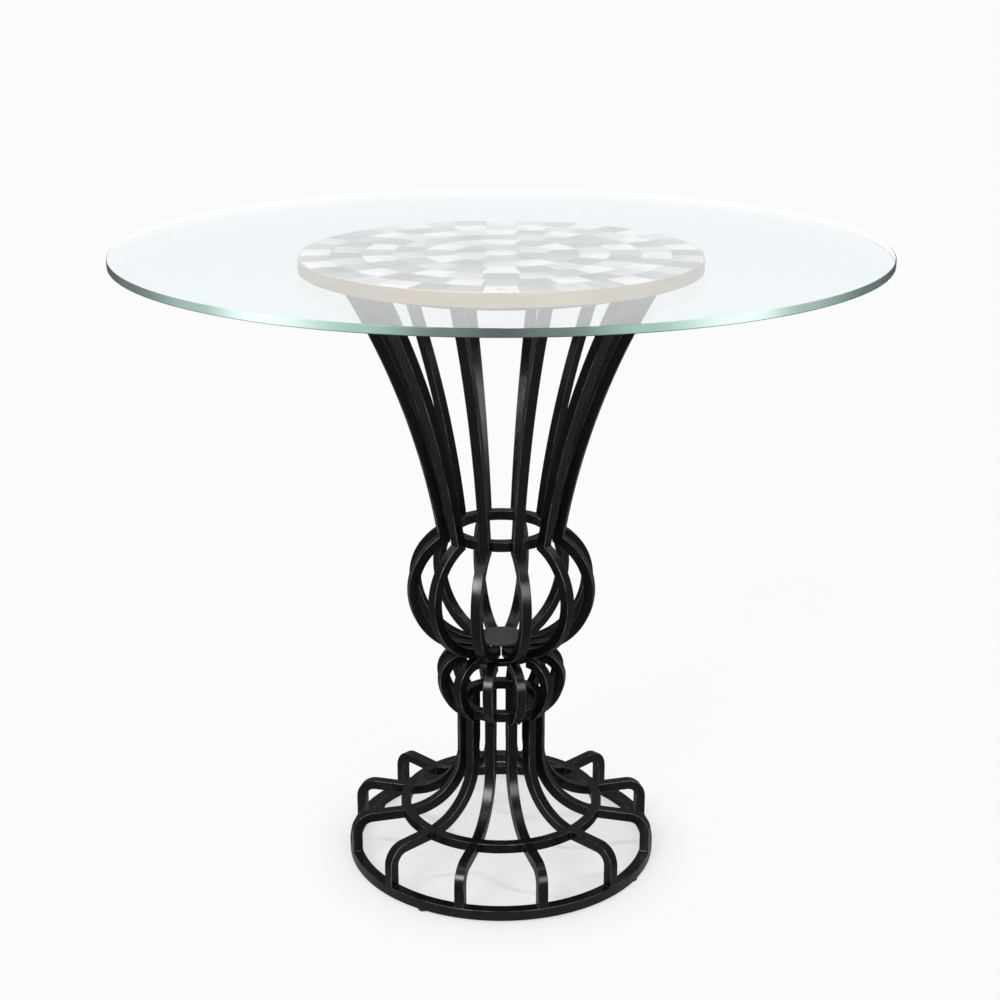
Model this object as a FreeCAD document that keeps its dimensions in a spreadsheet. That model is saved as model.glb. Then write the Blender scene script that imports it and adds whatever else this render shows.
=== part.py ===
import FreeCAD, Part
import math
import os
import Sketcher

# Round glass table on an openwork iron pedestal.
# Millimetres, +Z up, origin on the floor under the middle of the glass.
# The pedestal is built of square bar: rings lie level, and the bars between
# them are bent in upright planes through the axis.

os.makedirs("parts", exist_ok=True)
doc = FreeCAD.newDocument("AccentTable")

# Driving sizes: name, value, meaning. Lengths are in millimetres, angles in degrees.
SIZES = [
    ("TableHeight", 762, "floor to the top of the glass"),
    ("BarSize", 12, "side of the square bar"),
    ("FloorRingBar", 13, "side of the floor ring's heavier square bar"),
    ("BarEdge", 1, "rounding along the bar's edges"),
    ("BarCount", 12, "bars in each tier"),
    ("FirstBarAngle", 15, "direction of the first bar, from +X"),
    ("WeldGap", 0.1, "room for the weld between a bar's end and a ring"),
    ("HubClearance", 1.5, "extra distance of the ball bars' ends from the axis"),
    ("GlideHeight", 2.5, "floor to the underside of the floor ring"),
    ("GlideRadius", 6.5, "foot of a glide"),
    ("GlideEdge", 0.8, "rounding of a glide's foot"),
    ("GlideStemRadius", 2.5, "stem of a glide"),
    ("GlideStemLength", 6, "stem of a glide"),
    ("GlideHoleDepth", 7, "hole for the stem in the floor ring"),
    ("StemFit", 0.05, "clearance round a stem"),
    ("GlideCount", 4, "glides under the floor ring"),
    ("FirstGlideAngle", 60, "direction of the first glide, from +X"),
    ("FloorRingRadius", 190.5, "outside of the floor ring"),
    ("FootRingRadius", 125.5, "outside of the foot ring"),
    ("FootRingTop", 66, "height of the foot ring's top"),
    ("FootBendRadius", 19, "bend of a foot bar, to its centre line"),
    ("ColumnRadius", 54.5, "outside of the column and of its ring"),
    ("ColumnSweepRadius", 74, "sweep at the foot of a column bar, to its centre line"),
    ("ColumnFootRun", 6.5, "straight run of a column bar to the foot ring"),
    ("ColumnRise", 126, "foot ring's top up to the column ring's underside"),
    ("BulbRadius", 79.7, "widest outside of the bulb"),
    ("BulbRise", 75, "column ring's underside up to the waist ring's top"),
    ("BulbFootDrop", 3, "lower end of a bulb bar below the column ring's middle"),
    ("BulbTopRun", 3, "level end of a bulb bar beside the waist ring"),
    ("BulbTurn", 3, "turn of the bulb bars from the other tiers"),
    ("WaistRingRadius", 45, "outside of the waist ring"),
    ("WaistRingThickness", 6, "height of the waist ring's flat bar"),
    ("BallRadius", 114.8, "widest outside of the ball"),
    ("BowlRise", 85, "waist ring's top up to the ball's widest place"),
    ("DomeRise", 63.3, "ball's widest place up to the neck joint"),
    ("HubOverlap", 3, "hub plate's reach over the ball bars' ends"),
    ("HubThickness", 5, "hub plate"),
    ("HubUnderEdge", 1.5, "chamfer under the hub plate"),
    ("NeckRadius", 70.4, "neck joint from the axis, on the bars' centre line"),
    ("NeckMitreAngle", 27, "slope of the mitre at the neck"),
    ("CollarClearance", 0.6, "collar ring to the faces of the bars"),
    ("CollarDrop", 1.6, "neck joint down to the collar ring's underside"),
    ("FlareRadius", 900, "bend of a flare bar, to its centre line"),
    ("FlareEndRun", 12, "straight run at each end of a flare bar"),
    ("MountingRingRadius", 185, "outside of the mounting ring"),
    ("DiscRadius", 230, "outside of the support disc, with its rim"),
    ("DiscCoreThickness", 13, "wooden core of the support disc"),
    ("InlayThickness", 3, "inlaid face on the wooden core"),
    ("RimThickness", 1.5, "metal rim band"),
    ("RimFit", 0.1, "glue line inside the rim band"),
    ("RimEdge", 0.5, "rounding of the rim band"),
    ("ScrewCount", 6, "wood screws up into the disc"),
    ("FirstScrewAngle", 0, "direction of the first screw, from +X"),
    ("ScrewHeadRadius", 4.2, "head of a wood screw"),
    ("ScrewHeadHeight", 2.6, "head of a wood screw"),
    ("ScrewHeadEdge", 1, "rounding of a screw's head"),
    ("ScrewShankRadius", 2, "shank of a wood screw"),
    ("ScrewLength", 20, "wood screw below its head"),
    ("ScrewPoint", 3, "pointed end of a wood screw"),
    ("ScrewRingFit", 0.3, "clearance of a screw in the mounting ring"),
    ("ScrewWoodFit", 0.05, "clearance of a screw in the wood"),
    ("ScrewHoleRoom", 1, "hole in the wood past the screw's point"),
    ("ScrewSocketRadius", 1.6, "round driver socket in a screw's head"),
    ("ScrewSocketDepth", 1.4, "round driver socket in a screw's head"),
    ("BumperCount", 8, "clear bumpers under the glass"),
    ("BumperRadius", 5, "one bumper"),
    ("BumperThickness", 1, "one bumper"),
    ("BumperInset", 20, "disc's outside to the middle of a bumper"),
    ("GlassRadius", 437.5, "glass top"),
    ("GlassThickness", 9, "glass top"),
    ("GlassEdge", 1, "polished rounding of the glass's edges"),
    ("CutOverrun", 1, "how far a cut runs past the face that it opens"),
]

sheet = doc.addObject("Spreadsheet::Sheet", "Sizes")
for row, (alias, number, meaning) in enumerate(SIZES, start=1):
    sheet.set(f"A{row}", meaning)
    sheet.set(f"B{row}", str(number))
    sheet.setAlias(f"B{row}", alias)
doc.recompute()

# Lengths worked out from the driving sizes, as expressions on the sheet.
BAR = "Sizes.BarSize"
HALF_BAR = "Sizes.BarSize / 2"
FLOOR_BAR = "Sizes.FloorRingBar"
FLOOR_RING_TOP = "(Sizes.GlideHeight + Sizes.FloorRingBar)"
FLOOR_RING_LINE = "(Sizes.FloorRingRadius - Sizes.FloorRingBar / 2)"
FOOT_RING_INSIDE = "(Sizes.FootRingRadius - Sizes.BarSize)"
FOOT_RING_MIDDLE = f"(Sizes.FootRingTop - {HALF_BAR})"
COLUMN_CENTRE_LINE = f"(Sizes.ColumnRadius - {HALF_BAR})"
GLASS_BOTTOM = "(Sizes.TableHeight - Sizes.GlassThickness)"
INLAY_TOP = f"({GLASS_BOTTOM} - Sizes.BumperThickness)"
CORE_TOP = f"({INLAY_TOP} - Sizes.InlayThickness)"
CORE_BOTTOM = f"({CORE_TOP} - Sizes.DiscCoreThickness)"
CORE_RADIUS = "(Sizes.DiscRadius - Sizes.RimThickness - Sizes.RimFit)"
MOUNTING_RING_BOTTOM = f"({CORE_BOTTOM} - Sizes.BarSize)"
COLUMN_RING_BOTTOM = "(Sizes.FootRingTop + Sizes.ColumnRise)"
WAIST_RING_TOP = f"({COLUMN_RING_BOTTOM} + Sizes.BulbRise)"
BALL_MIDDLE = f"({WAIST_RING_TOP} + Sizes.BowlRise)"
NECK_HEIGHT = f"({BALL_MIDDLE} + Sizes.DomeRise)"
BULB_CENTRE_LINE = f"(Sizes.BulbRadius - {HALF_BAR})"
BULB_TOP_END = "(Sizes.WaistRingRadius + Sizes.WeldGap)"
BULB_UPPER_RADIUS = f"({BULB_CENTRE_LINE} - {BULB_TOP_END} - Sizes.BulbTopRun)"
BULB_MIDDLE = f"({WAIST_RING_TOP} - {HALF_BAR} - {BULB_UPPER_RADIUS})"
BULB_FOOT_END = f"(sqrt(Sizes.ColumnRadius * Sizes.ColumnRadius + {HALF_BAR} * {HALF_BAR}) + Sizes.WeldGap)"
BULB_REACH = f"({BULB_CENTRE_LINE} - {BULB_FOOT_END})"
BULB_DROP = f"({BULB_MIDDLE} - {COLUMN_RING_BOTTOM} - {HALF_BAR} + Sizes.BulbFootDrop)"
BULB_LOWER_RADIUS = f"({BULB_REACH} / 2 + {BULB_DROP} * {BULB_DROP} / (2 * {BULB_REACH}))"
BALL_CENTRE_LINE = f"(Sizes.BallRadius - {HALF_BAR})"
BALL_LOWER_RADIUS = f"(Sizes.BowlRise - {HALF_BAR})"
BALL_INNER_END = f"({HALF_BAR} / tan(180 / Sizes.BarCount) + Sizes.HubClearance)"
NECK_REACH = f"({BALL_CENTRE_LINE} - Sizes.NeckRadius)"
BALL_UPPER_RADIUS = f"({NECK_REACH} / 2 + Sizes.DomeRise * Sizes.DomeRise / (2 * {NECK_REACH}))"
HUB_RADIUS = f"({BALL_INNER_END} + Sizes.HubOverlap)"
HUB_PLATE_BOTTOM = f"({WAIST_RING_TOP} + Sizes.BarSize)"
COLLAR_RADIUS = f"(Sizes.NeckRadius - {HALF_BAR} - Sizes.CollarClearance)"
COLLAR_BOTTOM = f"({NECK_HEIGHT} - Sizes.CollarDrop)"
MOUNTING_CENTRE_LINE = f"(Sizes.MountingRingRadius - {HALF_BAR})"

NODES = []


def amount(expression):
    """The value of an expression on the sheet, as a plain number."""
    result = sheet.evalExpression(expression)
    return float(getattr(result, "Value", result))


def new_body(name):
    """A body whose label is the name of its node."""
    body = doc.addObject("PartDesign::Body", name)
    body.Label = name
    NODES.append(body)
    return body


def origin_feature(body, role):
    return next(f for f in body.Origin.OriginFeatures if f.Role == role)


def point(x, y):
    return FreeCAD.Vector(x, y, 0)


class Outline:
    """A sketch on one of a body's origin planes, with sizes bound to the sheet."""

    def __init__(self, body, name, plane="XZ_Plane", height=None, away=None):
        self.sketch = body.newObject("Sketcher::SketchObject", f"{name}Sketch")
        self.sketch.AttachmentSupport = [(origin_feature(body, plane), "")]
        self.sketch.MapMode = "FlatFace"
        if height:
            self.sketch.setExpression("AttachmentOffset.Base.z", height)
        if away:
            self.sketch.setExpression("AttachmentOffset.Base.x", away)

    def line(self, start, end, guide=False):
        return self.sketch.addGeometry(Part.LineSegment(point(*start), point(*end)), guide)

    def arc(self, centre, radius, first, last, guide=False):
        """An arc that runs anticlockwise from the first angle to the last, in radians."""
        circle = Part.Circle(point(*centre), FreeCAD.Vector(0, 0, 1), radius)
        return self.sketch.addGeometry(Part.ArcOfCircle(circle, first, last), guide)

    def guide_point(self, place):
        return self.sketch.addGeometry(Part.Point(point(*place)), True)

    def circle(self, centre, radius):
        return self.sketch.addGeometry(
            Part.Circle(point(*centre), FreeCAD.Vector(0, 0, 1), radius), False
        )

    def rule(self, *terms):
        self.sketch.addConstraint(Sketcher.Constraint(*terms))

    def meet(self, *pairs):
        """Join ends that share a corner."""
        for pair in pairs:
            self.rule("Coincident", *pair)

    def flow(self, *pairs):
        """Join ends that run on smoothly."""
        for pair in pairs:
            self.rule("Tangent", *pair)

    def level(self, *lines):
        for line in lines:
            self.rule("Horizontal", line)

    def upright(self, *lines):
        for line in lines:
            self.rule("Vertical", line)

    def size(self, name, expression, kind, *where):
        """Add a dimension and bind it to the sheet."""
        number = amount(expression)
        if kind == "Angle":
            number = math.radians(number)
        index = self.sketch.addConstraint(Sketcher.Constraint(kind, *where, number))
        self.sketch.renameConstraint(index, name)
        self.sketch.setExpression(f"Constraints.{name}", expression)

    def across(self, name, expression, line, end):
        """Distance of a point from the axis."""
        self.size(name, expression, "DistanceX", -1, 1, line, end)

    def height(self, name, expression, line, end):
        """Height of a point above the floor."""
        self.size(name, expression, "DistanceY", -1, 1, line, end)

    def box(self, inner, outer, bottom, top):
        """A rectangle between two radii and two heights."""
        x0, x1, z0, z1 = (amount(e) for e in (inner, outer, bottom, top))
        base = self.line((x0, z0), (x1, z0))
        outside = self.line((x1, z0), (x1, z1))
        lid = self.line((x1, z1), (x0, z1))
        inside = self.line((x0, z1), (x0, z0))
        self.meet((base, 2, outside, 1), (outside, 2, lid, 1))
        self.meet((lid, 2, inside, 1), (inside, 2, base, 1))
        self.level(base, lid)
        self.upright(outside, inside)
        self.across("Inner", inner, base, 1)
        self.across("Outer", outer, base, 2)
        self.height("Bottom", bottom, base, 1)
        self.height("Top", top, lid, 1)


def revolve(body, outline):
    """Turn an outline once round its own upright axis."""
    turned = body.newObject("PartDesign::Revolution", "Turned")
    turned.Profile = outline.sketch
    turned.ReferenceAxis = (outline.sketch, ["V_Axis"])
    turned.Angle = 360
    doc.recompute()
    return turned


def dress(body, kind, base, edges, size_name, expression):
    """Round or chamfer the chosen edges of a feature."""
    dressed = body.newObject(f"PartDesign::{kind}", f"{kind}{len(body.Group)}")
    dressed.Base = (base, edges)
    dressed.setExpression(size_name, expression)
    body.Tip = dressed
    doc.recompute()
    return dressed


def circles_at(feature, places):
    """Names of the circular edges that lie at the given radii and heights."""
    names = []
    for number, edge in enumerate(feature.Shape.Edges, start=1):
        if edge.Curve.TypeId != "Part::GeomCircle":
            continue
        found = (edge.Curve.Radius, edge.Curve.Center.z)
        if any(math.dist(found, place) < amount("Sizes.WeldGap") for place in places):
            names.append(f"Edge{number}")
    return names


def polar(body, count, repeat_of="Whole shape"):
    """Repeat the whole shape, or the last cut alone, round the Z axis."""
    pattern = body.newObject("PartDesign::PolarPattern", "Around")
    pattern.TransformMode = repeat_of
    if repeat_of == "Features":
        pattern.Originals = [body.Tip]
    pattern.Axis = (origin_feature(body, "Z_Axis"), [""])
    pattern.Angle = 360
    pattern.setExpression("Occurrences", count)
    body.Tip = pattern
    doc.recompute()
    return pattern


def cut_holes(body, name, radius, bottom, depth, away, count):
    """Cut a round upright hole on the X axis, and repeat it round the Z axis."""
    outline = Outline(body, name, "XY_Plane", bottom)
    hole = outline.circle((amount(away), 0), amount(radius))
    outline.size("Bore", radius, "Radius", hole)
    outline.rule("PointOnObject", hole, 3, -1)
    outline.across("Away", away, hole, 3)
    before = body.Tip.Shape.Volume
    pocket = body.newObject("PartDesign::Pocket", f"{name}Cut")
    pocket.Profile = outline.sketch
    pocket.Reversed = True
    pocket.setExpression("Length", depth)
    body.Tip = pocket
    doc.recompute()
    if not pocket.Shape.Volume < before:
        raise RuntimeError(f"{name} cuts nothing")
    polar(body, count, "Features")


def ring(name, outside, bottom, thickness=BAR, width=BAR, edge="Sizes.BarEdge"):
    """A level ring of square or flat bar with softened edges."""
    body = new_body(name)
    inside, top = f"({outside} - {width})", f"({bottom} + {thickness})"
    outline = Outline(body, "Section")
    outline.box(inside, outside, bottom, top)
    turned = revolve(body, outline)
    corners = [(amount(r), amount(z)) for r in (inside, outside) for z in (bottom, top)]
    dress(body, "Fillet", turned, circles_at(turned, corners), "Radius", edge)
    return body


def bar_from(body, outline, caps):
    """Give a bar's side view its width, and soften its long edges but not its ends."""
    pad = body.newObject("PartDesign::Pad", "Bar")
    pad.Profile = outline.sketch
    pad.SideType = "Symmetric"
    pad.setExpression("Length", "Sizes.BarSize")
    doc.recompute()
    ends = []
    for cap in caps:
        segment = outline.sketch.Geometry[cap]
        middle = (segment.StartPoint + segment.EndPoint) * 0.5
        ends.append(FreeCAD.Vector(middle.x, 0, middle.y))
    half, near = amount(HALF_BAR), amount("Sizes.WeldGap")
    edges = []
    for number, edge in enumerate(pad.Shape.Edges, start=1):
        middle = edge.valueAt((edge.FirstParameter + edge.LastParameter) / 2)
        on_side = abs(abs(middle.y) - half) < near
        side_point = FreeCAD.Vector(middle.x, 0, middle.z)
        if on_side and all(side_point.distanceToPoint(end) > near for end in ends):
            edges.append(f"Edge{number}")
    dress(body, "Fillet", pad, edges, "Radius", "Sizes.BarEdge")


def angle_at(centre, place):
    """Direction from a centre to a place, in radians."""
    return math.atan2(place[1] - centre[1], place[0] - centre[0])


def on_circle(centre, radius, start, slope):
    """Where a line from start at a slope in radians leaves a circle, nearest to start."""
    dx, dz = math.cos(slope), math.sin(slope)
    ox, oz = start[0] - centre[0], start[1] - centre[1]
    along = ox * dx + oz * dz
    rest = along * along - (ox * ox + oz * oz - radius * radius)
    steps = (-along - math.sqrt(rest), -along + math.sqrt(rest))
    step = min(steps, key=abs)
    return start[0] + step * dx, start[1] + step * dz


def crossing(start, heading, place, slope):
    """Where a line from start meets a sloping line through a place, angles in radians."""
    dx, dz = math.cos(heading), math.sin(heading)
    lx, lz = math.cos(slope), math.sin(slope)
    gap_x, gap_z = place[0] - start[0], place[1] - start[1]
    step = (gap_x * lz - gap_z * lx) / (dx * lz - dz * lx)
    return start[0] + step * dx, start[1] + step * dz


def foot_bar(body):
    """Up from the floor ring, bent through a quarter turn, level to the foot ring."""
    outside = amount("Sizes.FloorRingRadius")
    bar, half = amount("Sizes.BarSize"), amount(HALF_BAR)
    bottom, top = amount(FLOOR_RING_TOP), amount("Sizes.FootRingTop")
    end = "(Sizes.FootRingRadius + Sizes.WeldGap)"
    bend = amount("Sizes.FootBendRadius")
    centre = (outside - half - bend, top - half - bend)
    outline = Outline(body, "Foot")
    quarter = math.pi / 2
    rise = outline.line((outside, bottom), (outside, centre[1]))
    bend_out = outline.arc(centre, bend + half, 0, quarter)
    arm_top = outline.line((centre[0], top), (amount(end), top))
    arm_end = outline.line((amount(end), top), (amount(end), top - bar))
    arm_under = outline.line((amount(end), top - bar), (centre[0], top - bar))
    bend_in = outline.arc(centre, bend - half, 0, quarter)
    fall = outline.line((outside - bar, centre[1]), (outside - bar, bottom))
    base = outline.line((outside - bar, bottom), (outside, bottom))
    outline.upright(rise, arm_end, fall)
    outline.level(arm_top, arm_under, base)
    outline.flow((rise, 2, bend_out, 1), (bend_out, 2, arm_top, 1))
    outline.flow((arm_under, 2, bend_in, 2), (bend_in, 1, fall, 1))
    outline.meet((arm_top, 2, arm_end, 1), (arm_end, 2, arm_under, 1))
    outline.meet((fall, 2, base, 1), (base, 2, rise, 1), (bend_out, 3, bend_in, 3))
    outline.across("Outside", "Sizes.FloorRingRadius", rise, 1)
    outline.across("Inside", "Sizes.FloorRingRadius - Sizes.BarSize", fall, 1)
    outline.across("ArmEnd", end, arm_end, 1)
    outline.height("Base", FLOOR_RING_TOP, rise, 1)
    outline.height("ArmTop", "Sizes.FootRingTop", arm_top, 1)
    outline.size("Bend", f"Sizes.FootBendRadius + {HALF_BAR}", "Radius", bend_out)
    bar_from(body, outline, [base, arm_end])


def column_bar(body):
    """From the inside of the foot ring, swept up to stand in the column."""
    half, sweep = amount(HALF_BAR), amount("Sizes.ColumnSweepRadius")
    run, top = amount("Sizes.ColumnFootRun"), amount(COLUMN_RING_BOTTOM)
    foot = (amount(FOOT_RING_INSIDE), amount(FOOT_RING_MIDDLE))
    end = f"(sqrt({FOOT_RING_INSIDE} * {FOOT_RING_INSIDE} - {HALF_BAR} * {HALF_BAR}) - Sizes.WeldGap)"
    across, end_x = amount(COLUMN_CENTRE_LINE) + sweep, amount(end)
    slope = math.atan2(run, sweep) + math.asin((across - foot[0]) / math.hypot(sweep, run))
    centre = (across, foot[1] + sweep * math.cos(slope) + run * math.sin(slope))
    quarter = math.pi / 2
    lowest = 3 * quarter - slope

    def around(radius, direction):
        return centre[0] + radius * math.cos(direction), centre[1] + radius * math.sin(direction)

    outline = Outline(body, "Column")
    guide = outline.arc(centre, sweep, math.pi, lowest, True)
    guide_run = outline.line(around(sweep, lowest), foot, True)
    outline.flow((guide, 2, guide_run, 1))
    outline.rule("Horizontal", guide, 3, guide, 1)
    corners, faces = [], []
    for radius in (sweep - half, sweep + half):
        low, high = around(radius, lowest), around(radius, math.pi)
        corners.append(crossing(low, -slope, (end_x, foot[1]), quarter))
        bow = outline.arc(centre, radius, math.pi, lowest)
        rise = outline.line(high, (high[0], top))
        level_run = outline.line(low, corners[-1])
        outline.upright(rise)
        outline.flow((bow, 1, rise, 1), (bow, 2, level_run, 1))
        outline.meet((guide, 3, bow, 3))
        outline.rule("Parallel", level_run, guide_run)
        faces.append((bow, rise, level_run))
    (bow_out, rise_out, run_out), (bow_in, rise_in, run_in) = faces
    lid = outline.line((across - sweep + half, top), (across - sweep - half, top))
    foot_cut = outline.line(corners[1], corners[0])
    outline.level(lid)
    outline.upright(foot_cut)
    outline.meet((rise_out, 2, lid, 1), (lid, 2, rise_in, 2))
    outline.meet((run_in, 2, foot_cut, 1), (foot_cut, 2, run_out, 2))
    outline.across("CentreLine", COLUMN_CENTRE_LINE, guide, 1)
    outline.across("FootAcross", FOOT_RING_INSIDE, guide_run, 2)
    outline.height("FootUp", FOOT_RING_MIDDLE, guide_run, 2)
    outline.across("FootEnd", end, foot_cut, 1)
    outline.height("Top", COLUMN_RING_BOTTOM, lid, 1)
    outline.size("Sweep", "Sizes.ColumnSweepRadius", "Radius", guide)
    outline.size("FootRun", "Sizes.ColumnFootRun", "Distance", guide_run)
    outline.size("SweepOut", f"Sizes.ColumnSweepRadius - {HALF_BAR}", "Radius", bow_out)
    outline.size("SweepIn", f"Sizes.ColumnSweepRadius + {HALF_BAR}", "Radius", bow_in)
    bar_from(body, outline, [foot_cut, lid])


def bulb_bar(body):
    """A short bowed bar between the column ring and the waist ring."""
    bar, half = amount("Sizes.BarSize"), amount(HALF_BAR)
    widest, middle = amount("Sizes.BulbRadius"), amount(BULB_MIDDLE)
    upper, lower = amount(BULB_UPPER_RADIUS), amount(BULB_LOWER_RADIUS)
    line_x, top = amount(BULB_CENTRE_LINE), amount(WAIST_RING_TOP)
    top_end = amount(BULB_TOP_END)
    foot_x = amount(BULB_FOOT_END)
    high, low = (line_x - upper, middle), (line_x - lower, middle)
    foot_out = (foot_x, middle - math.sqrt((lower + half) ** 2 - (foot_x - low[0]) ** 2))
    foot_in = (foot_x, middle - math.sqrt((lower - half) ** 2 - (foot_x - low[0]) ** 2))
    turn = 2 * math.pi
    outline = Outline(body, "Bulb")
    top_cut = outline.line((top_end, top), (top_end, top - bar))
    lid = outline.line((top_end, top), (high[0], top))
    shoulder_out = outline.arc(high, upper + half, 0, math.pi / 2)
    belly_out = outline.arc(low, lower + half, angle_at(low, foot_out) + turn, turn)
    foot_cut = outline.line(foot_out, foot_in)
    belly_in = outline.arc(low, lower - half, angle_at(low, foot_in) + turn, turn)
    shoulder_in = outline.arc(high, upper - half, 0, math.pi / 2)
    under = outline.line((high[0], top - bar), (top_end, top - bar))
    outline.upright(top_cut, foot_cut)
    outline.level(lid, under)
    outline.flow((lid, 2, shoulder_out, 2), (shoulder_out, 1, belly_out, 2))
    outline.flow((belly_in, 2, shoulder_in, 1), (shoulder_in, 2, under, 1))
    outline.meet((belly_out, 1, foot_cut, 1), (foot_cut, 2, belly_in, 1))
    outline.meet((under, 2, top_cut, 2), (top_cut, 1, lid, 1))
    outline.meet((shoulder_out, 3, shoulder_in, 3), (belly_out, 3, belly_in, 3))
    outline.rule("Horizontal", shoulder_out, 3, shoulder_out, 1)
    outline.across("Widest", "Sizes.BulbRadius", shoulder_out, 1)
    outline.across("TopEnd", BULB_TOP_END, top_cut, 1)
    outline.across("FootEnd", BULB_FOOT_END, foot_cut, 1)
    outline.height("Top", WAIST_RING_TOP, lid, 1)
    outline.size("Shoulder", f"{BULB_UPPER_RADIUS} + {HALF_BAR}", "Radius", shoulder_out)
    outline.size("Belly", f"{BULB_LOWER_RADIUS} + {HALF_BAR}", "Radius", belly_out)
    outline.size("BellyInside", f"{BULB_LOWER_RADIUS} - {HALF_BAR}", "Radius", belly_in)
    bar_from(body, outline, [top_cut, foot_cut])


def ball_bar(body):
    """Out from the hub over the waist ring, round the ball and in to the neck joint."""
    bar, half = amount("Sizes.BarSize"), amount(HALF_BAR)
    bottom, middle = amount(WAIST_RING_TOP), amount(BALL_MIDDLE)
    upper, lower = amount(BALL_UPPER_RADIUS), amount(BALL_LOWER_RADIUS)
    line_x, end = amount(BALL_CENTRE_LINE), amount(BALL_INNER_END)
    high, low = (line_x - upper, middle), (line_x - lower, middle)
    neck = (amount("Sizes.NeckRadius"), amount(NECK_HEIGHT))
    slope = math.radians(amount("Sizes.NeckMitreAngle"))
    neck_out = on_circle(high, upper + half, neck, slope)
    neck_in = on_circle(high, upper - half, neck, slope)
    south, east = 1.5 * math.pi, 2 * math.pi
    outline = Outline(body, "Ball")
    run_under = outline.line((end, bottom), (low[0], bottom))
    bowl_out = outline.arc(low, lower + half, south, east)
    dome_out = outline.arc(high, upper + half, 0, angle_at(high, neck_out))
    mitre = outline.line(neck_in, neck_out)
    dome_in = outline.arc(high, upper - half, 0, angle_at(high, neck_in))
    bowl_in = outline.arc(low, lower - half, south, east)
    run_top = outline.line((low[0], bottom + bar), (end, bottom + bar))
    run_end = outline.line((end, bottom + bar), (end, bottom))
    joint = outline.guide_point(neck)
    outline.level(run_under, run_top)
    outline.upright(run_end)
    outline.flow((run_under, 2, bowl_out, 1), (bowl_out, 2, dome_out, 1))
    outline.flow((dome_in, 1, bowl_in, 2), (bowl_in, 1, run_top, 1))
    outline.meet((dome_out, 2, mitre, 2), (mitre, 1, dome_in, 2))
    outline.meet((run_top, 2, run_end, 1), (run_end, 2, run_under, 1))
    outline.meet((dome_out, 3, dome_in, 3), (bowl_out, 3, bowl_in, 3))
    outline.rule("Horizontal", bowl_out, 3, bowl_out, 2)
    outline.across("InnerEnd", BALL_INNER_END, run_end, 1)
    outline.across("Widest", "Sizes.BallRadius", bowl_out, 2)
    outline.height("Bottom", WAIST_RING_TOP, run_under, 1)
    outline.size("Bowl", f"{BALL_LOWER_RADIUS} + {HALF_BAR}", "Radius", bowl_out)
    outline.size("BowlInside", f"{BALL_LOWER_RADIUS} - {HALF_BAR}", "Radius", bowl_in)
    outline.size("Dome", f"{BALL_UPPER_RADIUS} + {HALF_BAR}", "Radius", dome_out)
    outline.across("NeckAcross", "Sizes.NeckRadius", joint, 1)
    outline.height("NeckUp", NECK_HEIGHT, joint, 1)
    outline.rule("PointOnObject", joint, 1, mitre)
    outline.size("Mitre", "Sizes.NeckMitreAngle", "Angle", mitre)
    bar_from(body, outline, [run_end, mitre])


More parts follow.
